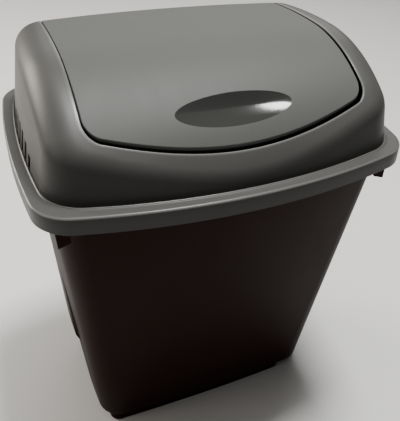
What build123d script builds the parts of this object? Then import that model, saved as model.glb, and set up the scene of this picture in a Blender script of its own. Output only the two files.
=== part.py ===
from build123d import *
import math
import os

os.makedirs("parts", exist_ok=True)

# Swing-lid trash can: a tapered tub, a lift-off hood that caps its rim, and a curved flap
# that rocks on two stub pins inside the hood. X runs along the wide side, the front is -Y,
# and the origin lies on the floor under the middle of the rim.

# Rim flange of the hood
flange_half_width = 200.0
flange_half_depth = 162.0
flange_bow = 28.0
flange_end_bow = 9.6
flange_corner = 42.0
flange_top = 400.0
flange_wall = 2.6
skirt_drop = 18.0
skirt_wall = 2.4
flange_edge_round = 2.0

# Raised hood above the flange
hood_inset = 12.5
hood_corner = 44.0
hood_rise = 94.7
crown_beyond_flange = 13.0
hood_rear_radius = 600.0
hood_draft = 8.5
hood_shoulder = 28.0
hood_wall = 2.6

# Opening of the hood and the flap in it
opening_half_width = 141.4
opening_front = 132.6
opening_front_radius = 467.0
opening_rear = 126.0
opening_rear_radius = 800.0
opening_corner = 18.0
opening_rear_corner = 9.0
flap_gap = 2.8
flap_wall = 2.6
flap_rib_inset = 5.0
flap_rib_wall = 2.0
flap_rib_drop = 9.0

# Finger recess near the flap's front edge
recess_half_length = 57.0
recess_half_depth = 15.0
recess_sink = 9.0
recess_centre = -104.0
recess_wall = 2.2

# Pivot: stub pins on the flap in snap-in brackets under the hood
pivot_y = -6.6
pivot_below_crown = 9.5
pin_radius = 4.0
pin_running_gap = 0.08
pin_length = 9.5
ear_radius = 8.5
ear_wall = 3.0
bracket_wall = 4.0
bracket_gap = 0.9
bracket_half_length = 9.0
bracket_below_pin = 9.0
bracket_mouth = 6.4

# Grip grooves at the foot of each end wall of the hood
groove_count = 7
groove_pitch = 17.5
groove_width = 7.5
groove_deep = 3.6
groove_height = 23.0
groove_arch_half = 66.0
groove_pad = 3.0

# Tub
tub_half_width = 184.0
tub_half_depth = 145.0
tub_bow = 26.5
tub_end_bow = 8.5
tub_corner = 33.0
base_half_width = 149.0
base_front = 70.0
base_rear = 104.0
base_bow = 3.0
base_end_bow = 6.0
base_corner = 30.0
tub_wall = 2.4
tub_floor = 3.0
foot_height = 7.5
foot_inset_end = 8.5
foot_inset_side = 2.5
foot_corner = 12.0

# Rim of the tub, under the hood's flange
rim_gap = 0.3
rim_skirt_gap = 1.0
rim_wall = 2.6
rim_lip_drop = 9.0
rim_lip_wall = 2.2

# Raised panel on each end wall of the tub, and the corner webs under the rim
panel_proud = 3.6
panel_sink = 1.2
panel_half_length = 50.0
panel_centre = 18.0
panel_foot = 115.0
panel_knee = 131.0
panel_head = 300.0
web_outer = 178.5
web_inner = 150.0
web_tab_inner = 164.0
web_wall = 3.0
web_front = 119.5
web_drop_outer = 26.5
web_drop_inner = 22.5
web_root_rise = 2.0

crown = flange_top + hood_rise
hood_front_radius = flange_half_depth + crown_beyond_flange
pivot_z = crown - pivot_below_crown
rim_top = flange_top - flange_wall - rim_gap


def bowed_outline(half_width, front, rear, front_bow, end_bow, corner, height=0.0, rear_bow=None):
    """Closed plan outline with four bowed sides and rounded corners, as a sketch at a height."""
    back_bow = front_bow if rear_bow is None else rear_bow
    middle = (rear - front) / 2
    with BuildSketch(Plane.XY.offset(height)) as outline:
        with BuildLine():
            left_front = (-half_width + end_bow, -front + front_bow)
            right_front = (half_width - end_bow, -front + front_bow)
            right_rear = (half_width - end_bow, rear - back_bow)
            left_rear = (-half_width + end_bow, rear - back_bow)
            ThreePointArc(left_front, (0, -front), right_front)
            ThreePointArc(right_front, (half_width, middle), right_rear)
            ThreePointArc(right_rear, (0, rear), left_rear)
            ThreePointArc(left_rear, (-half_width, middle), left_front)
        make_face()
        fillet(outline.vertices(), corner)
    return outline.sketch


def flange_outline(inset, height):
    """Outline of the flange drawn in by an inset on every side."""
    return bowed_outline(
        flange_half_width - inset,
        flange_half_depth - inset,
        flange_half_depth - inset,
        flange_bow,
        flange_end_bow,
        flange_corner - inset,
        height,
    )


def hood_plan(inset, height):
    """Outline of the foot of the hood's walls, drawn in by an inset."""
    half_depth = flange_half_depth - hood_inset - inset
    return bowed_outline(
        flange_half_width - hood_inset - inset,
        half_depth,
        half_depth,
        flange_bow,
        flange_end_bow,
        hood_corner - inset,
        height,
    )


def hood_solid(inset):
    """Solid under the hood's skin: leaning walls, the crown on top and a rounded shoulder."""
    with BuildPart() as solid:
        with BuildSketch(Plane.XY.offset(flange_top)):
            add(hood_plan(inset, 0))
        extrude(amount=hood_rise, taper=hood_draft)
        crown_body = extrude(crown_profile(inset), flange_half_width, both=True, mode=Mode.PRIVATE)
        add(crown_body, mode=Mode.INTERSECT)
        rim = []
        for edge in solid.edges():
            box = edge.bounding_box()
            crosses_crown = box.size.Y < hood_wall and box.size.X > hood_corner
            if box.min.Z > flange_top + hood_wall and not crosses_crown:
                rim.append(edge)
        fillet(rim, hood_shoulder - inset)
    return solid.part


def crown_profile(drop):
    """Side view of everything under the crown surface, which two tangent arcs describe."""
    front_centre = crown - hood_front_radius
    rear_centre = crown - hood_rear_radius
    front_radius = hood_front_radius - drop
    rear_radius = hood_rear_radius - drop
    front_reach = flange_half_depth - hood_inset / 2 - drop
    rear_reach = flange_half_depth - drop
    half = math.asin(front_reach / front_radius) / 2
    lean = math.asin(rear_reach / rear_radius) / 2
    top = crown - drop
    front_foot = front_centre + front_radius * math.cos(2 * half)
    rear_foot = rear_centre + rear_radius * math.cos(2 * lean)
    front_mid = (-front_radius * math.sin(half), front_centre + front_radius * math.cos(half))
    rear_mid = (rear_radius * math.sin(lean), rear_centre + rear_radius * math.cos(lean))
    low = 0.0
    with BuildSketch(Plane.YZ) as profile:
        with BuildLine():
            ThreePointArc((-front_reach, front_foot), front_mid, (0, top))
            ThreePointArc((0, top), rear_mid, (rear_reach, rear_foot))
            Line((rear_reach, rear_foot), (rear_reach, low))
            Line((rear_reach, low), (-front_reach, low))
            Line((-front_reach, low), (-front_reach, front_foot))
        make_face()
    return profile.sketch


def opening_outline(inset, height=0.0):
    """Plan outline of the hood's opening; the flap and its rib repeat it with larger insets."""
    half_width = opening_half_width - inset
    front = opening_front - inset
    rear = opening_rear - inset
    front_arc = opening_front_radius - inset
    rear_arc = opening_rear_radius - inset
    front_side = front - front_arc + math.sqrt(front_arc**2 - half_width**2)
    rear_side = rear - rear_arc + math.sqrt(rear_arc**2 - half_width**2)
    with BuildSketch(Plane.XY.offset(height)) as outline:
        with BuildLine():
            ThreePointArc((-half_width, -front_side), (0, -front), (half_width, -front_side))
            Line((half_width, -front_side), (half_width, rear_side))
            ThreePointArc((half_width, rear_side), (0, rear), (-half_width, rear_side))
            Line((-half_width, rear_side), (-half_width, -front_side))
        make_face()
        corners = outline.vertices().group_by(Axis.Y)
        fillet(corners[0], max(opening_corner - inset, flap_wall))
        corners = [v for v in outline.vertices() if v.Y > 0 and abs(abs(v.X) - half_width) < flap_gap / 4]
        fillet(corners, max(opening_rear_corner - inset, flap_wall))
    return outline.sketch


def tub_outline(inset, height):
    """Outline of the tub's wall at a height, between the base outline and the rim outline."""
    share = (height - foot_height) / (rim_top - foot_height)

    def between(low, high):
        return low + (high - low) * share

    return bowed_outline(
        between(base_half_width, tub_half_width) - inset,
        between(base_front, tub_half_depth) - inset,
        between(base_rear, tub_half_depth) - inset,
        between(base_bow, tub_bow),
        between(base_end_bow, tub_end_bow),
        between(base_corner, tub_corner) - inset / 2,
        height,
    )


# Raised end panels: they lean less than the wall, so they stand prouder towards a knee,
# and below it their foot slants back in to the wall
with BuildPart() as panels:
    loft([tub_outline(panel_sink, panel_foot), tub_outline(-panel_proud, panel_knee)])
    loft([tub_outline(-panel_proud, panel_knee), tub_outline(panel_sink, panel_head)])
    with BuildSketch(Plane.XY.offset(panel_foot)):
        with Locations((0, panel_centre)):
            Rectangle(2 * flange_half_width, 2 * panel_half_length)
    extrude(amount=panel_head - panel_foot, mode=Mode.INTERSECT)

# Corner webs under the rim
under_rim = rim_top - rim_wall
skirt_foot = flange_top - skirt_drop
with BuildPart() as webs:
    with BuildSketch(Plane.XZ.offset(web_front)):
        with BuildLine():
            Polyline(
                (web_inner, under_rim),
                (web_outer, under_rim),
                (web_outer - tub_wall, skirt_foot - web_drop_outer),
                (web_tab_inner, skirt_foot - web_drop_inner),
                (web_tab_inner, skirt_foot + web_root_rise),
                (web_inner, skirt_foot + web_root_rise),
                close=True,
            )
        make_face()
        mirror(about=Plane.YZ)
    extrude(amount=web_wall)
    mirror(about=Plane.XZ)

# Tub: a lofted wall on an inset foot, with a flanged rim that the hood sits on
with BuildPart() as bin_body:
    loft([tub_outline(0, foot_height), tub_outline(0, rim_top)])
    add(panels.part)
    # foot
    with BuildSketch():
        add(
            bowed_outline(
                base_half_width - foot_inset_end,
                base_front - foot_inset_side,
                base_rear - foot_inset_side,
                base_bow,
                base_end_bow,
                foot_corner,
            )
        )
    extrude(amount=foot_height)
    # rim flange and its turned-down lip
    rim_inset = skirt_wall + rim_skirt_gap
    with BuildSketch(Plane.XY.offset(under_rim)):
        add(flange_outline(rim_inset, 0))
    extrude(amount=rim_wall)
    with BuildSketch(Plane.XY.offset(under_rim - rim_lip_drop)):
        add(flange_outline(rim_inset, 0))
        add(flange_outline(rim_inset + rim_lip_wall, 0), mode=Mode.SUBTRACT)
    extrude(amount=rim_lip_drop)
    add(webs.part)
    # cavity
    loft(
        [tub_outline(tub_wall, foot_height + tub_floor), tub_outline(tub_wall, rim_top)],
        mode=Mode.SUBTRACT,
    )
bin_body.part.label = "bin_body"
export_step(bin_body.part, "parts/bin_body.step")

# Hood: flange with a skirt, leaning walls, a rounded shoulder and the flap's opening
hood_skin = hood_solid(0)
hood_half_skin = hood_solid(hood_wall / 2)
hood_cavity = hood_solid(hood_wall)
groove_floor = hood_solid(groove_deep)
pad_back = hood_solid(groove_deep + groove_pad)
hood_side = flange_half_width - hood_inset

# pads behind the grip grooves
with BuildPart() as grip_pads:
    with BuildSketch(Plane.XY.offset(flange_top)):
        Rectangle(2 * flange_half_width, 2 * groove_arch_half)
    extrude(amount=groove_height + groove_pad)
    add(hood_half_skin, mode=Mode.INTERSECT)
    add(pad_back, mode=Mode.SUBTRACT)

# grooves under an arch, one solid each
grooves = []
for index in range(groove_count):
    offset = (index - (groove_count - 1) / 2) * groove_pitch
    tall = groove_height * math.sqrt(1 - (offset / groove_arch_half) ** 2)
    with BuildPart() as groove:
        with BuildSketch(Plane.YZ.offset(hood_side - 2 * hood_shoulder)) as slot:
            with Locations((offset, flange_top + tall / 2)):
                Rectangle(groove_width, tall)
            fillet(slot.vertices().group_by(Axis.Y)[-1], groove_width / 3)
        extrude(amount=3 * hood_shoulder)
        mirror(about=Plane.YZ)
        add(groove_floor, mode=Mode.SUBTRACT)
    grooves.append(groove.part)

# bearing brackets that hang beside the opening
bracket_face = opening_half_width + bracket_gap
with BuildPart() as brackets:
    with BuildSketch(Plane.YZ.offset(bracket_face)):
        with Locations((pivot_y, (crown + pivot_z - bracket_below_pin) / 2)):
            Rectangle(2 * bracket_half_length, crown - pivot_z + bracket_below_pin)
        with Locations((pivot_y, pivot_z)):
            Circle(pin_radius + pin_running_gap, mode=Mode.SUBTRACT)
        with Locations((pivot_y, pivot_z - bracket_below_pin / 2)):
            Rectangle(bracket_mouth, bracket_below_pin, mode=Mode.SUBTRACT)
    extrude(amount=bracket_wall)
    mirror(about=Plane.YZ)
    add(hood_half_skin, mode=Mode.INTERSECT)

with BuildPart() as lid_hood:
    with BuildSketch(Plane.XY.offset(flange_top - flange_wall)):
        add(flange_outline(0, 0))
    extrude(amount=flange_wall)
    fillet(lid_hood.faces().sort_by(Axis.Z)[-1].edges(), flange_edge_round)
    with BuildSketch(Plane.XY.offset(flange_top - skirt_drop)):
        add(flange_outline(0, 0))
        add(flange_outline(skirt_wall, 0), mode=Mode.SUBTRACT)
    extrude(amount=skirt_drop - flange_wall)
    add(hood_skin)
    add(hood_cavity, mode=Mode.SUBTRACT)
    # the flange stays open under the hood
    with BuildSketch(Plane.XY.offset(flange_top - flange_wall)):
        add(hood_plan(hood_wall, 0))
    extrude(amount=flange_wall, mode=Mode.SUBTRACT)
    with BuildSketch(Plane.XY.offset(flange_top + hood_shoulder)):
        add(opening_outline(0))
    extrude(amount=hood_rise, mode=Mode.SUBTRACT)
    add(grip_pads.part)
    add(brackets.part)
    for piece in grooves:
        add(piece, mode=Mode.SUBTRACT)
lid_hood.part.label = "lid_hood"
export_step(lid_hood.part, "parts/lid_hood.step")

# Flap: a curved plate with a stiffening rib, a finger recess and two stub pins
flap_under = hood_solid(flap_wall)
flap_half_skin = hood_solid(flap_wall / 2)
rib_low = hood_solid(flap_wall + flap_rib_drop)

# the recess is a spindle turned about a line that runs above the plate
spindle_radius = (recess_half_depth**2 + recess_sink**2) / (2 * recess_sink)
spindle_lift = spindle_radius - recess_sink
spindle_arc = (recess_half_length**2 + recess_sink**2) / (2 * recess_sink)
recess_tilt = math.asin(-recess_centre / hood_front_radius)
spindle_reach = hood_front_radius + spindle_lift
spindle_y = -spindle_reach * math.sin(recess_tilt)
spindle_z = crown - hood_front_radius + spindle_reach * math.cos(recess_tilt)


def spindle(extra):
    """Spindle of the finger recess, swollen by an extra wall."""
    radius = spindle_radius + extra
    arc = spindle_arc + extra
    half = math.sqrt(2 * arc * radius - radius**2)
    axis_plane = Plane((0, spindle_y, spindle_z), x_dir=(1, 0, 0), z_dir=(0, -1, 0))
    with BuildPart() as body:
        with BuildSketch(axis_plane):
            with BuildLine():
                ThreePointArc((-half, 0), (0, radius), (half, 0))
                Line((half, 0), (-half, 0))
            make_face()
        revolve(axis=Axis((0, spindle_y, spindle_z), (1, 0, 0)))
    return body.part


with BuildPart() as rib_ring:
    with BuildSketch(Plane.XY.offset(flange_top)):
        add(opening_outline(flap_gap + flap_rib_inset))
        add(opening_outline(flap_gap + flap_rib_inset + flap_rib_wall), mode=Mode.SUBTRACT)
    extrude(amount=hood_rise)
    add(flap_half_skin, mode=Mode.INTERSECT)
    add(rib_low, mode=Mode.SUBTRACT)

rib_face = opening_half_width - flap_gap - flap_rib_inset
with BuildPart() as pins:
    with BuildSketch(Plane.YZ.offset(rib_face - ear_wall)):
        with Locations((pivot_y, pivot_z)):
            Circle(ear_radius)
    extrude(amount=ear_wall + flap_rib_inset)
    with BuildSketch(Plane.YZ.offset(rib_face - ear_wall)):
        with Locations((pivot_y, pivot_z)):
            Circle(pin_radius)
    extrude(amount=ear_wall + flap_rib_inset + flap_gap + pin_length)
    mirror(about=Plane.YZ)

with BuildPart() as swing_flap:
    with BuildSketch(Plane.XY.offset(flange_top)):
        add(opening_outline(flap_gap))
    extrude(amount=hood_rise)
    add(spindle(recess_wall), mode=Mode.SUBTRACT)
    add(hood_skin, mode=Mode.INTERSECT)
    add(flap_under, mode=Mode.SUBTRACT)
    add(rib_ring.part)
    recess_shell = (spindle(recess_wall) & hood_skin) - spindle(0)
    add(recess_shell)
    add(pins.part)
swing_flap.part.label = "swing_flap"
export_step(swing_flap.part, "parts/swing_flap.step")
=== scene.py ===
import math

import bpy
import numpy as np
from mathutils import Matrix, Vector


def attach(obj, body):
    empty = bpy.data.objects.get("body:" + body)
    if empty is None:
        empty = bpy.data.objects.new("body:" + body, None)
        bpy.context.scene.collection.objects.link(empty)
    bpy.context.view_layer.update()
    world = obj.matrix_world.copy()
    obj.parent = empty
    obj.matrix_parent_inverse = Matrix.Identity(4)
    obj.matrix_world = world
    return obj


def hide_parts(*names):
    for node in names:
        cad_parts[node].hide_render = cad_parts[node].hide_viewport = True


# Swing-lid trash can. Lengths are millimetres until a mesh is made; the frame is the CAD one:
# X across, front at -Y, Z up.
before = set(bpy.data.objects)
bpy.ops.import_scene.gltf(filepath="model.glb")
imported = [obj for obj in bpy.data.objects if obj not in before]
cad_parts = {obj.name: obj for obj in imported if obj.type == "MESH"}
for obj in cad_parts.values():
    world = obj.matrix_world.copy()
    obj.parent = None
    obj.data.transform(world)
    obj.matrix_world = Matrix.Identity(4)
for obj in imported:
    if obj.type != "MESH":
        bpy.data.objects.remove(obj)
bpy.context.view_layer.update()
mm = 0.001
print("frame loaded", sorted(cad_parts))


def arcRadius(halfChord, bow):
    return (halfChord**2 + bow**2) / (2 * bow)


def bowedLoop(size, counts):
    # Plan points and outward normals all round, counter-clockwise from the front's left end.
    # Each side is an arc whose height is its bow, and each corner a circle tangent to two sides.
    # A point is centre + radius * (sin a, -cos a), where a is the direction of the normal.
    halfChord = size["halfWidth"] - size["endBow"]
    frontRadius = arcRadius(halfChord, size["frontBow"])
    rearRadius = arcRadius(halfChord, size["rearBow"])
    low, high = size["frontBow"] - size["front"], size["rear"] - size["rearBow"]
    endRadius = arcRadius((high - low) / 2, size["endBow"])
    front = (np.array([0.0, frontRadius - size["front"]]), frontRadius)
    rear = (np.array([0.0, size["rear"] - rearRadius]), rearRadius)
    right = (np.array([size["halfWidth"] - endRadius, (high + low) / 2]), endRadius)

    def cornerCentre(side, radius, sign):
        # Circles about the side's and the right end's centres, drawn in by the radius, cross
        # where the corner's centre lies: in front (sign -1) or behind (sign 1).
        sideReach, endReach = side[1] - radius, right[1] - radius
        apart = np.linalg.norm(right[0] - side[0])
        along = (sideReach**2 - endReach**2 + apart**2) / (2 * apart)
        across = math.sqrt(max(sideReach**2 - along**2, 0.0))
        unit = (right[0] - side[0]) / apart
        turned = np.array([-unit[1], unit[0]])
        both = [side[0] + along * unit + hand * across * turned for hand in (-1, 1)]
        return max(both, key=lambda point: sign * point[1])

    def angleOf(vector):
        return math.atan2(vector[0], -vector[1])

    frontCorner = cornerCentre(front, size["frontCorner"], -1)
    rearCorner = cornerCentre(rear, size["rearCorner"], 1)
    a0 = angleOf(frontCorner - front[0])
    a1 = angleOf(frontCorner - right[0])
    a2 = angleOf(rearCorner - right[0])
    a3 = angleOf(rearCorner - rear[0])
    flip = np.array([-1.0, 1.0])
    turn = 2 * math.pi
    arcs = [
        (front[0], front[1], -a0, a0, counts["side"]),
        (frontCorner, size["frontCorner"], a0, a1, counts["corner"]),
        (right[0], right[1], a1, a2, counts["end"]),
        (rearCorner, size["rearCorner"], a2, a3, counts["corner"]),
        (rear[0], rear[1], a3, turn - a3, counts["side"]),
        (rearCorner * flip, size["rearCorner"], turn - a3, turn - a2, counts["corner"]),
        (right[0] * flip, right[1], turn - a2, turn - a1, counts["end"]),
        (frontCorner * flip, size["frontCorner"], turn - a1, turn - a0, counts["corner"]),
    ]
    points, normals = [], []
    for centre, radius, start, stop, count in arcs:
        angle = start + (stop - start) * np.arange(count) / count
        normal = np.stack([np.sin(angle), -np.cos(angle)], 1)
        points.append(centre + radius * normal)
        normals.append(normal)
    return np.concatenate(points), np.concatenate(normals)


def atHeight(plan, z):
    # plan points and one height, or one height each, as points in space
    return np.concatenate([plan, np.broadcast_to(z, (len(plan),))[:, None]], 1)


# the first two are the facing heights over which painted shade fades out, from upright faces to faces
# that look up
surface = {
    "paintedShadeLow": 0.1, "paintedShadeHigh": 0.68, "sharpAngle": math.radians(38.0), "bevel": 0.5, "bevelSteps": 2,
}


def addPiece(name, mesh, material, body):
    mesh.materials.append(material)
    piece = bpy.data.objects.new(name, mesh)
    bpy.context.scene.collection.objects.link(piece)
    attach(piece, body)
    return piece


def addAttribute(mesh, label, values):
    layer = mesh.attributes.new(label, "FLOAT", "POINT")
    layer.data.foreach_set("value", values.astype(np.float32))


def gridPiece(name, rows, material, body, closed=False, startPole=None, endPole=None, polishAndPaintedLight=None):
    # rows: (row, column, 3) points. Columns always join round; rows join too when closed is true.
    # A pole is one point that shuts the first or last row. Faces point outwards when the columns
    # run counter-clockwise and the rows run up the outside. polish holds one value for each row:
    # how far that row is polished and painted towards the finish's painted light tone.
    rows = np.asarray(rows, float)
    count, around = rows.shape[:2]
    points = rows.reshape(-1, 3)
    here = np.arange(around)
    there = (here + 1) % around
    low = np.arange(count if closed else count - 1)[:, None] * around
    high = (low + around) % (count * around)
    quads = np.stack([low + here, low + there, high + there, high + here], -1).reshape(-1, 4)
    faces = quads.tolist()
    if startPole is not None:
        faces += np.stack([there, here, np.full(around, len(points))], 1).tolist()
        points = np.concatenate([points, [startPole]])
    if endPole is not None:
        base = (count - 1) * around
        faces += np.stack([base + here, base + there, np.full(around, len(points))], 1).tolist()
        points = np.concatenate([points, [endPole]])
    mesh = bpy.data.meshes.new(name)
    mesh.from_pydata((points * mm).tolist(), [], faces)
    mesh.update()
    mesh.polygons.foreach_set("use_smooth", np.ones(len(mesh.polygons), bool))
    mesh.set_sharp_from_angle(angle=surface["sharpAngle"])
    if polishAndPaintedLight is not None:
        values = np.zeros(len(points))
        values[: count * around] = np.repeat(polishAndPaintedLight, around)
        addAttribute(mesh, "polishAndPaintedLight", values)
    # how far each point faces up: a material can paint shade by it on the upright faces and keep the
    # upper faces lighter, standing in for the light from above
    facing = np.empty(len(points) * 3, np.float32)
    mesh.vertices.foreach_get("normal", facing)
    span = surface["paintedShadeHigh"] - surface["paintedShadeLow"]
    addAttribute(mesh, "upward", np.clip((facing[2::3] - surface["paintedShadeLow"]) / span, 0, 1))
    return addPiece(name, mesh, material, body)


def platePiece(name, outlines, material, body):
    # outlines: list of (loop A, loop B), the two faces of a plate as matching rings of points;
    # ring A is counter-clockwise seen from outside its own face.
    points, faces = [], []
    for ringA, ringB in outlines:
        n, base = len(ringA), len(points)
        points += list(ringA) + list(ringB)
        faces.append([base + i for i in range(n)])
        faces.append([base + n + i for i in reversed(range(n))])
        for i in range(n):
            after = (i + 1) % n
            faces.append([base + after, base + i, base + n + i, base + n + after])
    mesh = bpy.data.meshes.new(name)
    mesh.from_pydata((np.array(points) * mm).tolist(), [], faces)
    mesh.update()
    piece = addPiece(name, mesh, material, body)
    bevel = piece.modifiers.new("softEdges", "BEVEL")
    bevel.width, bevel.segments = surface["bevel"] * mm, surface["bevelSteps"]
    bevel.limit_method = "ANGLE"
    return piece


class Value:
    # a socket that takes part in Python arithmetic with others and with numbers, by Math nodes
    def __init__(self, nodes, socket):
        self.nodes, self.socket = nodes, socket

    def join(self, operation, first, second):
        return self.nodes.add("ShaderNodeMath", {"operation": operation}, {0: first, 1: second})

    def __add__(self, other):
        return self.join("ADD", self, other)

    __radd__ = __add__

    def __mul__(self, other):
        return self.join("MULTIPLY", self, other)

    __rmul__ = __mul__

    def __sub__(self, other):
        return self.join("SUBTRACT", self, other)

    def __rsub__(self, other):
        return self.join("SUBTRACT", other, self)


class Finish:
    # a material and the one method that adds a node to it: type, settings, then inputs
    def __init__(self, name, constants):
        self.material = bpy.data.materials.new(name)
        self.material.use_nodes = True
        self.tree = self.material.node_tree
        self.shader = self.tree.nodes["Principled BSDF"]
        for key, value in constants.items():
            self.shader.inputs[key].default_value = value

    def add(self, kind, settings, inputs, output=0):
        node = self.tree.nodes.new(kind)
        for key, value in settings.items():
            setattr(node, key, value)
        for key, value in inputs.items():
            if isinstance(value, Value):
                self.tree.links.new(value.socket, node.inputs[key])
            else:
                node.inputs[key].default_value = value
        return Value(self, node.outputs[output])

    def into(self, key, value):
        self.tree.links.new(value.socket, self.shader.inputs[key])

    def place(self, stretch=(1, 1, 1)):
        where = self.add("ShaderNodeTexCoord", {}, {}, output="Object")
        return self.add("ShaderNodeMapping", {}, {"Vector": where, "Scale": stretch})

    def noise(self, where, scale, detail):
        return self.add("ShaderNodeTexNoise", {}, {"Vector": where, "Scale": scale, "Detail": detail})

    def attribute(self, label):
        return self.add("ShaderNodeAttribute", {"attribute_name": label}, {}, output="Fac")

    def blend(self, share, first, second):
        # a colour Mix node: its inputs 0, 6 and 7 are the share and the two colours
        colours = [tone if isinstance(tone, Value) else (*tone, 1) for tone in (first, second)]
        inputs = {0: share, 6: colours[0], 7: colours[1]}
        return self.add("ShaderNodeMix", {"data_type": "RGBA"}, inputs, output=2)


texture = {
    "ior": 1.47, "grainDetail": 3.0, "grainHeight": 0.0002, "grainGloss": 0.06,
    "driftScale": 9.0, "driftDetail": 4.0, "driftGloss": 0.10, "driftTone": 0.7,
    "streakScale": 22.0, "streakDetail": 5.0, "streakGloss": 0.08, "streakTone": 0.3,
}


def mouldedPlastic(name, look):
    # Fine moulded grain, slow drifts of colour and gloss, and faint handling streaks; where the look asks
    # for them, painted shade on upright faces and a painted light tone on polished rows.
    gloss = {"IOR": texture["ior"], "Specular IOR Level": look["specular"], "Specular Tint": look["tint"]}
    finish = Finish(name, gloss)
    plainPlace = finish.place()
    grain = finish.noise(plainPlace, look["grainScale"], texture["grainDetail"])
    drift = finish.noise(plainPlace, texture["driftScale"], texture["driftDetail"])
    streakPlace = finish.place(look["streakStretch"])
    streak = finish.noise(streakPlace, texture["streakScale"], texture["streakDetail"])
    share = drift * texture["driftTone"] + streak * texture["streakTone"]
    tone = finish.blend(share, look["dark"], look["light"])
    # painted shade: upright faces take the darker upright colour and faces that look up keep the full
    # tone, standing in for light from above
    if "upright" in look:
        tone = finish.blend(finish.attribute("upward"), look["upright"], tone)
    roughness = look["roughness"] + (drift - 0.5) * texture["driftGloss"]
    roughness += (streak - 0.5) * texture["streakGloss"] + (grain - 0.5) * texture["grainGloss"]
    # polished rows: lower roughness, and colour painted towards the polish tone, a painted highlight on
    # the hood and painted shade in the flap's recess
    if "polishAndPaintedLight" in look:
        polishAndPaintedLight = finish.attribute("polishAndPaintedLight")
        roughness = roughness * (1 - polishAndPaintedLight) + polishAndPaintedLight * look["polishAndPaintedLight"]
        grain = grain * (1 - polishAndPaintedLight)
        tone = finish.blend(polishAndPaintedLight, tone, look["paintedLightTone"])
    finish.into("Base Color", tone)
    finish.into("Roughness", roughness)
    heights = {"Strength": look["bump"], "Distance": texture["grainHeight"], "Height": grain}
    finish.into("Normal", finish.add("ShaderNodeBump", {}, heights, output="Normal"))
    return finish.material


# The hood's upright colour is painted shade for its upright faces.
hoodLook = {
    "dark": (0.058, 0.057, 0.054), "light": (0.074, 0.073, 0.069), "tint": (1.0, 1.0, 1.0, 1.0),
    "roughness": 0.42, "specular": 0.30, "grainScale": 1400.0, "bump": 0.30, "streakStretch": (1, 1, 5),
    # polish tone: painted highlight, lighter than the hood's plastic, on its polished edge, lip and bead
    # rows
    "polishAndPaintedLight": 0.26, "paintedLightTone": (0.125, 0.123, 0.117), "upright": (0.020, 0.0195, 0.0185),
}
# The flap's polish tone is painted shade: darker than the flap's plastic, it darkens the polished finger
# recess.
flapLook = {
    "dark": (0.064, 0.066, 0.060), "light": (0.081, 0.083, 0.076), "tint": (1.0, 1.0, 1.0, 1.0),
    "roughness": 0.56, "specular": 0.36, "grainScale": 1400.0, "bump": 0.45, "streakStretch": (6, 1, 1),
    "polishAndPaintedLight": 0.10, "paintedLightTone": (0.036, 0.036, 0.034),
}
tubLook = {
    "dark": (0.0060, 0.0014, 0.0009), "light": (0.0112, 0.0031, 0.0021), "tint": (1.0, 0.70, 0.58, 1.0),
    "roughness": 0.46, "specular": 0.05, "grainScale": 1100.0, "bump": 0.25, "streakStretch": (5, 5, 1),
}
hoodPlastic = mouldedPlastic("hoodPlastic", hoodLook)
flapPlastic = mouldedPlastic("flapPlastic", flapLook)
tubPlastic = mouldedPlastic("tubPlastic", tubLook)
print("materials made")


# The hood. Its bead's profile lists reach, rise and polish, from the flange inwards; polish there and in
# the edge and lip shine values also paints those rows lighter as a highlight line.
hood = {
    "flange": {
        "halfWidth": 200.0, "front": 162.0, "rear": 162.0, "frontBow": 28.0, "rearBow": 28.0,
        "endBow": 9.6, "frontCorner": 42.0, "rearCorner": 42.0,
    },
    "inset": 12.5, "corner": 44.0, "top": 400.0, "rise": 94.7, "wall": 2.6, "draft": math.radians(8.5),
    "shoulder": 28.0, "frontRadius": 175.0, "rearRadius": 740.0,
    "skirtDrop": 18.0, "skirtWall": 2.4, "skirtSoft": 0.6, "flangeWall": 2.6, "flangeSoft": 0.8,
    "edgeRound": 2.4, "edgeShine": (0.0, 0.35, 1.0, 1.0, 0.5, 0.0), "beadSize": 0.9, "beadStart": 2.4,
    "beadProfile": (
        (2.0, 0.3, 0.0), (1.6, 0.8, 0.8), (1.1, 1.0, 0.8), (0.6, 0.7, 0.8), (0.35, 0.1, 0.0),
    ),
    "wallFoot": 0.3, "grooveShare": 0.40, "lipRound": 1.1, "lipSoft": 0.4,
    "lipShine": (1.0, 1.0, 1.0, 1.0, 0.0, 0.0), "ballRounds": 60, "batch": 4000,
    "rows": {"flange": 4, "groove": 28, "wall": 7, "shoulder": 22, "lip": 6, "inside": 12},
    "counts": {"side": 120, "corner": 22, "end": 230},
}
opening = {
    "halfWidth": 141.4, "front": 132.6, "rear": 126.0, "frontBow": 22.0, "rearBow": 12.6,
    "endBow": 0.02, "frontCorner": 18.0, "rearCorner": 9.0,
}
grip = {
    "count": 7, "pitch": 17.5, "width": 7.5, "deep": 3.2, "height": 23.0, "archHalf": 66.0, "soft": 0.9,
    "endReach": 40.0,
}
crown = hood["top"] + hood["rise"]
slope = math.tan(hood["draft"])

flangeEdge, flangeOut = bowedLoop(hood["flange"], hood["counts"])
hoodFoot = dict(hood["flange"])
for key in ("halfWidth", "front", "rear"):
    hoodFoot[key] -= hood["inset"]
hoodFoot["frontCorner"] = hoodFoot["rearCorner"] = hood["corner"]
footLine, footOut = bowedLoop(hoodFoot, hood["counts"])
openingLine, openingOut = bowedLoop(opening, hood["counts"])


def crownHeight(y, sink):
    # two arcs that share a level tangent at y = 0, both drawn in by the sink
    radius = np.where(y < 0, hood["frontRadius"], hood["rearRadius"])
    return crown - radius + np.sqrt(np.maximum((radius - sink) ** 2 - y**2, 0.0))


def shoulderPath(plan, outward):
    # Path of the centre of a ball that rolls round inside the hood, touching wall and crown.
    radius = hood["shoulder"]
    z = np.full(len(plan), hood["top"] + hood["rise"] / 2)
    for _ in range(hood["ballRounds"]):
        inward = (z - hood["top"]) * slope + radius / math.cos(hood["draft"])
        centre = plan - outward * inward[:, None]
        z = crownHeight(centre[:, 1], radius)
    return atHeight(centre, z)


ballPath = shoulderPath(footLine, footOut)


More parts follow.
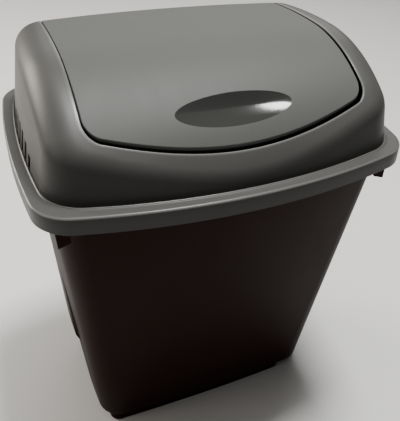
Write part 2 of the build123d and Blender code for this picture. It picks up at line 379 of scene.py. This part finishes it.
def skinHeight(plan, sink=0.0):
    # Height of the hood's skin over a plan point: the crown inside the path of the ball, and
    # otherwise the highest ball there, each ball's radius being the shoulder's less the sink.
    flat = plan.reshape(-1, 2)
    out = np.empty(len(flat))
    shoulder = hood["shoulder"]
    reach = (shoulder - sink) ** 2
    edge = np.roll(ballPath[:, :2], -1, 0) - ballPath[:, :2]
    for start in range(0, len(flat), hood["batch"]):
        part = flat[start : start + hood["batch"]]
        radius = np.where(part[:, 1] < 0, hood["frontRadius"], hood["rearRadius"])
        under = np.stack([part[:, 0], part[:, 1] * (radius - shoulder) / (radius - sink)], 1)
        away = under[:, None, :] - ballPath[None, :, :2]
        inside = (edge[None, :, 0] * away[:, :, 1] - edge[None, :, 1] * away[:, :, 0] > 0).all(1)
        near = ((part[:, None, :] - ballPath[None, :, :2]) ** 2).sum(2)
        ball = ballPath[None, :, 2] + np.sqrt(np.maximum(reach - near, 0.0))
        ball = np.where(near < reach, ball, hood["top"])
        out[start : start + hood["batch"]] = np.where(inside, crownHeight(part[:, 1], sink), ball.max(1))
    return out.reshape(plan.shape[:-1])


def skinNormal(plan, step=0.4):
    # upward unit normal of the skin, from its height a step away each way
    dx = skinHeight(plan + [step, 0]) - skinHeight(plan - [step, 0])
    dy = skinHeight(plan + [0, step]) - skinHeight(plan - [0, step])
    normal = np.stack([-dx / (2 * step), -dy / (2 * step), np.ones(len(plan))], 1)
    return normal / np.linalg.norm(normal, axis=1)[:, None]


def roundedEdge(plan, away, radius):
    # Quarter-round from the skin to an upright edge at plan; away points to the open side.
    normal = skinNormal(plan)
    core = plan - away * radius
    start = core + normal[:, :2] * radius
    centre = atHeight(core, skinHeight(start) - normal[:, 2] * radius)
    level = atHeight(away, 0.0)
    rows = []
    for t in np.linspace(0, math.pi / 2, hood["rows"]["lip"]):
        direction = normal * math.cos(t) + level * math.sin(t)
        direction /= np.linalg.norm(direction, axis=1)[:, None]
        rows.append(centre + radius * direction)
    return start, rows


def gripDepth(points):
    # Depth of the grip grooves at points of the end walls: soft-edged slots under an arch.
    y, z = points[..., 1], points[..., 2]
    depth = np.zeros(y.shape)
    soft = grip["soft"]
    for index in range(grip["count"]):
        offset = (index - (grip["count"] - 1) / 2) * grip["pitch"]
        tall = grip["height"] * math.sqrt(1 - (offset / grip["archHalf"]) ** 2)
        across = np.clip((grip["width"] / 2 - np.abs(y - offset)) / soft + 0.5, 0, 1)
        upward = np.clip((hood["top"] + tall - z) / soft + 0.5, 0, 1)
        depth = np.maximum(depth, across * upward)
    onEnd = np.abs(points[..., 0]) > hood["flange"]["halfWidth"] - grip["endReach"]
    return depth * grip["deep"] * onEnd


def buildHood():
    # One profile all round: skirt, flange, wall, shoulder, lip, and back along the inside.
    top, wall, soft = hood["top"], hood["wall"], hood["lipSoft"]
    skirtFoot = top - hood["skirtDrop"]
    flangeUnder = top - hood["flangeWall"]
    rows, shine = [], []

    def addRow(plan, z, polishAndPaintedLight=0.0):
        rows.append(atHeight(plan, z))
        shine.append(polishAndPaintedLight)

    addRow(flangeEdge - flangeOut * hood["skirtWall"], skirtFoot)
    addRow(flangeEdge - flangeOut * hood["skirtSoft"], skirtFoot)
    addRow(flangeEdge, skirtFoot + hood["skirtSoft"])
    addRow(flangeEdge, skirtFoot + hood["skirtDrop"] / 2)
    bend = hood["edgeRound"]
    # the flange's rounded outer edge; its polished middle rows are painted lighter as a highlight line
    for t, polishAndPaintedLight in zip(np.linspace(0, math.pi / 2, len(hood["edgeShine"])), hood["edgeShine"]):
        addRow(flangeEdge - flangeOut * bend * (1 - math.cos(t)), top - bend * (1 - math.sin(t)), polishAndPaintedLight)
    outer = flangeEdge - flangeOut * bend
    inner = footLine + footOut * hood["beadStart"] * hood["beadSize"]
    for share in np.linspace(0.2, 1, hood["rows"]["flange"]):
        addRow(outer + (inner - outer) * share, top)
    # the bead at the wall's foot; its polished rows are painted lighter as a highlight line
    for reach, rise, polishAndPaintedLight in hood["beadProfile"]:
        addRow(footLine + footOut * reach * hood["beadSize"], top + rise * hood["beadSize"], polishAndPaintedLight)

    # leaning wall, with close rows where the grooves are
    upright = np.full((len(footOut), 1), math.sin(hood["draft"]))
    wallNormal = np.concatenate([footOut * math.cos(hood["draft"]), upright], 1)
    shoulderFoot = ballPath + hood["shoulder"] * wallNormal
    wallFoot = top + hood["wallFoot"]
    grooveShares = np.linspace(0, hood["grooveShare"], hood["rows"]["groove"])
    upperShares = np.linspace(hood["grooveShare"], 1, hood["rows"]["wall"])[1:]
    for share in np.concatenate([grooveShares, upperShares]):
        z = wallFoot + (shoulderFoot[:, 2] - wallFoot) * share
        points = atHeight(footLine - footOut * ((z - top) * slope)[:, None], z)
        points -= wallNormal * gripDepth(points)[:, None]
        addRow(points[:, :2], points[:, 2])

    # shoulder and crown up to the lip of the opening
    lipStart, lipRows = roundedEdge(openingLine, -openingOut, hood["lipRound"])
    for t in np.linspace(0, math.pi / 2, hood["rows"]["shoulder"])[1:-1]:
        plan = shoulderFoot[:, :2] + (lipStart - shoulderFoot[:, :2]) * (1 - math.cos(t))
        addRow(plan, skinHeight(plan))
    # the lip's upper rows are polished and painted lighter as a highlight line
    for points, polishAndPaintedLight in zip(lipRows, hood["lipShine"]):
        addRow(points[:, :2], points[:, 2], polishAndPaintedLight)

    # the inside, from the lip back down to the skirt, by way of the wall's middle and foot
    lipInside = openingLine + openingOut * soft
    under = skinHeight(lipInside, wall)
    addRow(openingLine, under + soft)
    addRow(lipInside, under)
    innerFoot = ballPath + (hood["shoulder"] - wall) * wallNormal
    for t in np.linspace(math.pi / 2, 0, hood["rows"]["inside"])[1:]:
        plan = innerFoot[:, :2] + (lipInside - innerFoot[:, :2]) * (1 - math.cos(t))
        addRow(plan, skinHeight(plan, wall) if t > 0 else innerFoot[:, 2])
    inset = wall / math.cos(hood["draft"])
    for share in (0.5, 0.0):
        z = top + (innerFoot[:, 2] - top) * share
        addRow(footLine - footOut * ((z - top) * slope + inset)[:, None], z)
    addRow(footLine - footOut * inset, flangeUnder)
    addRow(flangeEdge - flangeOut * (hood["skirtWall"] + hood["flangeSoft"]), flangeUnder)
    addRow(flangeEdge - flangeOut * hood["skirtWall"], flangeUnder - hood["flangeSoft"])
    piece = gridPiece("hoodShell", rows, hoodPlastic, "lid", closed=True, polishAndPaintedLight=shine)
    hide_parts("lid_hood")


buildHood()
print("hood built")

# The flap's pivot, and the hooks under the hood in which its pins turn.
pivot = {"y": -6.6, "z": crown - 9.5, "pin": 4.0, "gap": 0.3, "ear": 8.5}
bracket = {
    "face": opening["halfWidth"] + 0.9, "wall": 4.0, "half": 9.0, "below": 9.0, "mouth": 6.4, "steps": 28,
}


def buildBrackets():
    # A square-shouldered hook: outer rectangle, mouth at the foot, and a round seat for the pin.
    seat = pivot["pin"] + pivot["gap"]
    mouth = bracket["mouth"] / 2
    start = math.asin(mouth / seat)
    arc = np.linspace(start, 2 * math.pi - start, bracket["steps"])
    roof = crown - hood["wall"] / 2 - pivot["z"]
    ring = [(-bracket["half"], -bracket["below"]), (-mouth, -bracket["below"])]
    ring += [(-seat * math.sin(a), -seat * math.cos(a)) for a in arc]
    ring += [(mouth, -bracket["below"]), (bracket["half"], -bracket["below"])]
    ring += [(bracket["half"], roof), (-bracket["half"], roof)]

    def ringAt(x):
        return [(x, pivot["y"] + y, pivot["z"] + z) for y, z in ring]

    outlines = []
    for side in (-1, 1):
        near, far = side * bracket["face"], side * (bracket["face"] + bracket["wall"])
        outlines.append((ringAt(max(near, far)), ringAt(min(near, far))))
    piece = platePiece("pinBrackets", outlines, hoodPlastic, "lid")


buildBrackets()
print("brackets built")

flap = {
    "gap": 2.8, "sideGap": 1.8, "shift": -1.1, "wall": 2.6, "edgeRound": 1.0, "soft": 0.4,
    "ribInset": 5.0, "ribWall": 2.0, "ribDrop": 9.0,
    "rows": {"lens": 28, "skin": 26, "edgeSearch": 40}, "counts": {"side": 170, "corner": 16, "end": 120},
}
recess = {
    "x": -1.2, "y": -104.0, "halfLength": 59.0, "halfDepth": 13.8, "blunt": 0.52, "sink": 7.5,
    "valley": 0.46, "steepPower": 1.35, "gentlePower": 1.8, "tipHalf": 0.001, "firstRing": 0.012,
}


def recessHalf(x):
    # half the recess's depth in plan: a lens whose tips are blunted by the power
    return recess["halfDepth"] * np.maximum(1 - (x / recess["halfLength"]) ** 2, 0) ** recess["blunt"]


def recessDepth(plan):
    # Across the lens the depth falls steeply from the rear edge to a valley and rises gently to
    # the front edge; along it the depth fades to the tips.
    x, y = plan[..., 0] - recess["x"], plan[..., 1] - recess["y"]
    along = np.maximum(1 - (x / recess["halfLength"]) ** 2, 0)
    across = np.clip(y / np.maximum(recessHalf(x), recess["tipHalf"]), -1, 1)
    valley = recess["valley"]
    steep = np.clip((across - valley) / (1 - valley), 0, 1)
    gentle = np.clip((valley - across) / (1 + valley), 0, 1)
    rear, front = 1 - steep ** recess["steepPower"], 1 - gentle ** recess["gentlePower"]
    return recess["sink"] * along * np.where(across > valley, rear, front)


def recessRim(centre, target):
    # Where the lines from the recess's centre to the target points leave the lens, by bisection.
    ray = target - centre
    ray /= np.linalg.norm(ray, axis=1)[:, None]
    near, far = np.zeros(len(ray)), np.full(len(ray), recess["halfLength"])
    for _ in range(flap["rows"]["edgeSearch"]):
        reach = (near + far) / 2
        outside = np.abs(reach * ray[:, 1]) > recessHalf(reach * ray[:, 0])
        near, far = np.where(outside, near, reach), np.where(outside, reach, far)
    return centre + ray * near[:, None]


def buildFlap():
    # Rings round the recess: its floor, its edge, the skin out to the flap's edge, the rounded
    # edge, and the same rings back along the underside.
    edge = dict(opening)
    edge["halfWidth"] -= flap["sideGap"]
    edge["front"] -= flap["gap"]
    edge["rear"] -= flap["gap"]
    edgeLine, edgeOut = bowedLoop(edge, flap["counts"])
    edgeLine[:, 0] += flap["shift"]
    wall, soft = flap["wall"], flap["soft"]
    centre = np.array([recess["x"], recess["y"]])
    skinEnd, edgeRows = roundedEdge(edgeLine, edgeOut, flap["edgeRound"])
    rim = recessRim(centre, skinEnd)
    valley = centre + [0, recess["valley"] * recess["halfDepth"]]
    lensShares = np.sin(np.linspace(recess["firstRing"], 1, flap["rows"]["lens"]) * math.pi / 2)[:-1]
    skinShares = (1 - np.cos(np.linspace(0, 1, flap["rows"]["skin"]) * math.pi)) / 2
    stations = [(valley + (rim - valley) * share, True) for share in lensShares]
    stations += [(rim + (skinEnd - rim) * share, False) for share in skinShares]

    def skinRow(plan, inLens, sink):
        return atHeight(plan, skinHeight(plan, sink) - (recessDepth(plan) if inLens else 0.0))

    rows = [skinRow(plan, inLens, 0.0) for plan, inLens in stations]
    rows += edgeRows[1:]
    rows.append(atHeight(edgeLine, skinHeight(edgeLine, wall) + soft))
    rows.append(atHeight(edgeLine - edgeOut * soft, skinHeight(edgeLine - edgeOut * soft, wall)))
    rows += [skinRow(plan, inLens, wall) for plan, inLens in stations[-3::-2]]
    # the recess rows are polished and painted darker, painted shade in the finger recess
    polishAndPaintedLight = np.zeros(len(rows))
    polishAndPaintedLight[: len(lensShares) + 1] = 1.0
    topPole = skinRow(valley[None, :], True, 0.0)[0]
    lowPole = skinRow(valley[None, :], True, wall)[0]
    piece = gridPiece(
        "flapPlate", rows[::-1], flapPlastic, "flap", startPole=lowPole, endPole=topPole,
        polishAndPaintedLight=polishAndPaintedLight[::-1],
    )
    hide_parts("swing_flap")

    # stiffening rib under the edge, a closed ring of four faces
    ribOut = edgeLine - edgeOut * flap["ribInset"]
    ribIn = ribOut - edgeOut * flap["ribWall"]
    deep = wall + flap["ribDrop"]
    rib = [
        atHeight(ribIn, skinHeight(ribIn, wall / 2)),
        atHeight(ribIn, skinHeight(ribIn, deep) + soft),
        atHeight(ribIn + edgeOut * soft, skinHeight(ribIn, deep)),
        atHeight(ribOut - edgeOut * soft, skinHeight(ribOut, deep)),
        atHeight(ribOut, skinHeight(ribOut, deep) + soft),
        atHeight(ribOut, skinHeight(ribOut, wall / 2)),
    ]
    ring = gridPiece("flapRib", rib, flapPlastic, "flap", closed=True)


pin = {
    "earIn": 3.0, "earOut": 5.0, "earSoft": 0.5, "fillet": 0.6, "tipSoft": 0.8, "reach": 9.5, "steps": 48,
}


def buildPins():
    # Ear and stub pin on each side, turned about the pivot line from a stepped profile.
    ribFace = opening["halfWidth"] - flap["sideGap"] - flap["ribInset"]
    earStart, earEnd = ribFace - pin["earIn"], ribFace + pin["earOut"]
    pinEnd = opening["halfWidth"] + pin["reach"]
    soft = pin["earSoft"]
    profile = [
        (earStart, pivot["ear"] - soft), (earStart + soft, pivot["ear"]),
        (earEnd - soft, pivot["ear"]), (earEnd, pivot["ear"] - soft),
        (earEnd, pivot["pin"] + soft), (earEnd + pin["fillet"], pivot["pin"]),
        (pinEnd - pin["tipSoft"], pivot["pin"]), (pinEnd, pivot["pin"] - pin["tipSoft"]),
    ]
    angle = np.linspace(0, 2 * math.pi, pin["steps"], endpoint=False)
    for side, name in ((1, "pinRight"), (-1, "pinLeft")):
        rows = []
        for x, radius in profile:
            y, z = pivot["y"] + radius * np.cos(angle), pivot["z"] + radius * np.sin(angle) * side
            rows.append(np.stack([np.full(len(angle), side * x), y, z], 1))
        startPole, endPole = [(side * profile[end][0], pivot["y"], pivot["z"]) for end in (0, -1)]
        piece = gridPiece(name, rows, flapPlastic, "flap", startPole=startPole, endPole=endPole)


buildFlap()
buildPins()
print("flap built")

# The tub. Its walls are straight from the base outline, at the level foot, to the top outline, at
# rimTop. What is seen as the foot reaches up to the level step.
tub = {
    "top": {
        "halfWidth": 184.0, "front": 145.0, "rear": 145.0, "frontBow": 26.5, "rearBow": 26.5,
        "endBow": 8.5, "frontCorner": 33.0, "rearCorner": 33.0,
    },
    "base": {
        "halfWidth": 149.0, "front": 70.0, "rear": 104.0, "frontBow": 3.0, "rearBow": 3.0,
        "endBow": 6.0, "frontCorner": 30.0, "rearCorner": 30.0,
    },
    "wall": 2.4, "floor": 3.0, "floorRound": 6.0, "foot": 7.5, "step": 14.0, "baseRound": 1.4,
    "footInsetEnd": 8.5, "footInsetSide": 2.5, "footCorner": 12.0, "footRightShare": 0.826,
    "footSoft": 0.8, "rowGap": 8.0,
    "rimTop": hood["top"] - hood["flangeWall"] - 0.3, "rimWall": 2.6, "rimInset": 3.4, "rimSoft": 0.8,
    "lipDrop": 9.0, "lipWall": 2.2, "lipSoft": 0.4, "lipRound": 1.2, "lipCut": 0.35,
    "rows": {"stand": 4, "bend": 4, "low": 10, "panel": 12, "high": 32, "inside": 16, "floor": 5},
    "counts": {"side": 100, "corner": 26, "end": 110},
}
panel = {
    "proud": 3.6, "sink": 1.2, "half": 50.0, "centre": 18.0, "foot": 128.0, "knee": 143.0, "head": 300.0,
    "soft": 1.4, "endShare": 0.8, "before": 4.0, "after": 3.0,
}


def buildTub():
    # One profile from the middle of the foot up the outside, over the rim and down the inside.
    counts, count, step = tub["counts"], tub["rows"], tub["step"]
    topLine, topOut = bowedLoop(tub["top"], counts)
    baseLine, baseOut = bowedLoop(tub["base"], counts)
    foot = dict(tub["base"])
    foot["halfWidth"] -= tub["footInsetEnd"]
    foot["front"] -= tub["footInsetSide"]
    foot["rear"] -= tub["footInsetSide"]
    foot["frontCorner"] = foot["rearCorner"] = tub["footCorner"]
    standLine, standOut = bowedLoop(foot, counts)
    # the photo shows the foot drawn in further at its right end
    standLine[:, 0] *= np.where(standLine[:, 0] > 0, tub["footRightShare"], 1.0)
    rimLine, rimOut = bowedLoop(hood["flange"], counts)

    def wallAt(z, inset):
        # straight lines from the base outline to the rim outline
        share = (z - tub["foot"]) / (tub["rimTop"] - tub["foot"])
        out = baseOut + (topOut - baseOut) * share
        out = out / np.linalg.norm(out, axis=1)[:, None]
        return baseLine + (topLine - baseLine) * share - out * inset, out

    def panelLift(plan, z):
        # Raised panel on each end wall: it leans less than the wall down to its knee, and below
        # that its foot slants back in.
        offset = np.abs(plan[:, 1] - panel["centre"])
        aside = np.clip((panel["half"] - offset) / panel["soft"] + 0.5, 0, 1)
        levels = (panel["foot"], panel["knee"], panel["head"])
        proud = max(np.interp(z, levels, (-panel["sink"], panel["proud"], -panel["sink"])), 0.0)
        onEnd = np.abs(plan[:, 0]) > tub["base"]["halfWidth"] * panel["endShare"]
        return proud * aside * onEnd

    rows = []
    for reach in np.linspace(0.25, 1, count["stand"]):
        rows.append(atHeight(standLine * reach - standOut * tub["footSoft"] * reach, 0.0))
    rows.append(atHeight(standLine, tub["footSoft"]))
    rows.append(atHeight(standLine, step - tub["footSoft"]))
    bend = tub["baseRound"]
    rows.append(atHeight(wallAt(step, bend)[0], step))
    for t in np.linspace(0.2, 1, count["bend"]) * math.pi / 2:
        z = step + bend * (1 - math.cos(t))
        rows.append(atHeight(wallAt(z, bend * (1 - math.sin(t)))[0], z))

    # outer wall, with close rows at the foot of the panel
    underRim = tub["rimTop"] - tub["rimWall"]
    heights = [
        np.linspace(step + tub["rowGap"], panel["foot"] - panel["before"], count["low"]),
        np.linspace(panel["foot"], panel["knee"] + panel["after"], count["panel"]),
        np.linspace(panel["knee"] + tub["rowGap"], underRim, count["high"]),
    ]
    for z in np.concatenate(heights):
        plan, out = wallAt(z, 0.0)
        rows.append(atHeight(plan + out * panelLift(plan, z)[:, None], z))

    # rim and its turned-down lip
    lipIn = rimLine - rimOut * (tub["rimInset"] + tub["lipWall"])
    lipOut = rimLine - rimOut * tub["rimInset"]
    lipFoot = underRim - tub["lipDrop"]
    soft, cut, lipRound, rimTop = tub["lipSoft"], tub["lipCut"], tub["lipRound"], tub["rimTop"]
    rows += [
        atHeight(lipIn, underRim), atHeight(lipIn, lipFoot + soft),
        atHeight(lipIn + rimOut * soft, lipFoot), atHeight(lipOut - rimOut * soft, lipFoot),
        atHeight(lipOut, lipFoot + soft),
        atHeight(lipOut, rimTop - lipRound), atHeight(lipOut - rimOut * cut, rimTop - cut),
        atHeight(lipOut - rimOut * lipRound, rimTop),
    ]
    plan, out = wallAt(rimTop, tub["wall"])
    rows.append(atHeight(plan + out * tub["rimSoft"], rimTop))
    rows.append(atHeight(plan, rimTop - tub["rimSoft"]))

    # inside wall and floor
    floor, corner = step + tub["floor"], tub["floorRound"]
    for z in np.linspace(underRim, floor + corner, count["inside"]):
        rows.append(atHeight(wallAt(z, tub["wall"])[0], z))
    for t in np.linspace(0.2, 1, count["floor"]) * math.pi / 2:
        z = floor + corner * (1 - math.sin(t))
        plan = wallAt(z, tub["wall"] + corner * (1 - math.cos(t)))[0]
        rows.append(atHeight(plan, z))
    middle = np.array([0.0, (tub["base"]["rear"] - tub["base"]["front"]) / 2])
    for reach in (0.8, 0.5, 0.2):
        rows.append(atHeight(middle + (plan - middle) * reach, floor))
    low, high = (*middle, 0.0), (*middle, floor)
    piece = gridPiece("tubShell", rows, tubPlastic, "bin", startPole=low, endPole=high)
    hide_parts("bin_body")


web = {
    "outer": 178.5, "inner": 150.0, "tabInner": 164.0, "wall": 3.0, "front": 119.5, "dropOuter": 26.5,
    "dropInner": 22.5, "rootRise": 2.0,
}


def buildWebs():
    # four upright plates at the corners under the rim
    top = tub["rimTop"] - tub["rimWall"]
    skirtFoot = hood["top"] - hood["skirtDrop"]
    ring = [
        (web["inner"], top), (web["inner"], skirtFoot + web["rootRise"]),
        (web["tabInner"], skirtFoot + web["rootRise"]), (web["tabInner"], skirtFoot - web["dropInner"]),
        (web["outer"] - tub["wall"], skirtFoot - web["dropOuter"]), (web["outer"], top),
    ]
    outlines = []
    for sideX in (-1, 1):
        ordered = ring if sideX > 0 else ring[::-1]
        for sideY in (-1, 1):
            faces = sorted((sideY * web["front"], sideY * (web["front"] + web["wall"])))
            outlines.append([[(sideX * x, y, z) for x, z in ordered] for y in faces])
    piece = platePiece("rimWebs", outlines, tubPlastic, "bin")


buildTub()
buildWebs()
print("tub built")

studio = {
    "floorHalf": 6.0, "floorTone": (0.76, 0.75, 0.735), "fibreShade": 0.985, "fibreScale": 14.0,
    "fibreDetail": 5.0, "worldTone": (1.0, 0.995, 0.985), "worldStrength": 0.07,
    "lightTarget": (0.0, 0.0, 0.45),
}
white, warm = (1.0, 1.0, 0.99), (1.0, 0.93, 0.85)


def buildStudio():
    half = studio["floorHalf"]
    corners = [(-half, -half, 0), (half, -half, 0), (half, half, 0), (-half, half, 0)]
    mesh = bpy.data.meshes.new("studioFloor")
    mesh.from_pydata(corners, [], [(0, 1, 2, 3)])
    paper = Finish("floorPaper", {"Specular IOR Level": 0.1, "Roughness": 0.9})
    fibres = paper.noise(paper.place(), studio["fibreScale"], studio["fibreDetail"])
    shaded = tuple(part * studio["fibreShade"] for part in studio["floorTone"])
    paper.into("Base Color", paper.blend(fibres, shaded, studio["floorTone"]))
    mesh.materials.append(paper.material)
    floor = bpy.data.objects.new("studioFloor", mesh)
    bpy.context.scene.collection.objects.link(floor)
    world = bpy.data.worlds.new("softRoom")
    world.use_nodes = True
    sky = world.node_tree.nodes["Background"]
    sky.inputs["Color"].default_value = (*studio["worldTone"], 1)
    sky.inputs["Strength"].default_value = studio["worldStrength"]
    bpy.context.scene.world = world


def addSoftLight(name, spot, power, width, height, tone):
    lamp = bpy.data.lights.new(name, "AREA")
    lamp.shape, lamp.size, lamp.size_y = "RECTANGLE", width, height
    lamp.energy, lamp.color = power, tone
    holder = bpy.data.objects.new(name, lamp)
    holder.location = spot
    holder.rotation_mode = "QUATERNION"
    sight = Vector(studio["lightTarget"]) - Vector(spot)
    holder.rotation_quaternion = sight.to_track_quat("-Z", "Y")
    bpy.context.scene.collection.objects.link(holder)


buildStudio()
addSoftLight("rearSoftbox", (0.9, 1.9, 1.5), 12, 2.2, 1.0, white)
addSoftLight("topSoftbox", (-0.2, 0.1, 2.5), 20, 1.4, 1.4, white)
addSoftLight("glintPanel", (0.32, 0.0, 2.4), 66, 0.48, 0.46, white)
addSoftLight("leftWindow", (-1.5, 1.5, 0.95), 40, 1.0, 0.9, warm)
addSoftLight("leftGlow", (-1.9, -0.2, 0.9), 7, 0.9, 0.9, warm)

camera = {
    "spot": (-0.20878, -0.54273, 0.70140), "yaw": 0.46447, "pitch": 0.58137, "roll": 0.06995,
    "focalPixels": 580.5, "axisX": 242.59, "axisY": 178.57, "imageWidth": 400, "imageHeight": 421,
    "sensor": 36, "clipStart": 0.01, "clipEnd": 50,
}


def buildCamera():
    # Yaw turns from +Y to +X, pitch looks down, roll turns about the line of sight.
    yaw, pitch, roll = camera["yaw"], camera["pitch"], camera["roll"]
    ahead = Vector(
        (math.sin(yaw) * math.cos(pitch), math.cos(yaw) * math.cos(pitch), -math.sin(pitch))
    )
    level = Vector((math.cos(yaw), -math.sin(yaw), 0))
    upward = level.cross(ahead)
    across = level * math.cos(roll) + upward * math.sin(roll)
    upward = -level * math.sin(roll) + upward * math.cos(roll)
    data = bpy.data.cameras.new("photoCamera")
    longSide = max(camera["imageWidth"], camera["imageHeight"])
    data.sensor_width = camera["sensor"]
    data.lens = camera["sensor"] * camera["focalPixels"] / longSide
    data.shift_x = (camera["imageWidth"] / 2 - camera["axisX"]) / longSide
    data.shift_y = (camera["axisY"] - camera["imageHeight"] / 2) / longSide
    data.clip_start, data.clip_end = camera["clipStart"], camera["clipEnd"]
    holder = bpy.data.objects.new("photoCamera", data)
    turn = Matrix((across, upward, -ahead)).transposed()
    holder.matrix_world = Matrix.Translation(camera["spot"]) @ turn.to_4x4()
    bpy.context.scene.collection.objects.link(holder)
    bpy.context.scene.camera = holder


buildCamera()
print("studio and camera set")
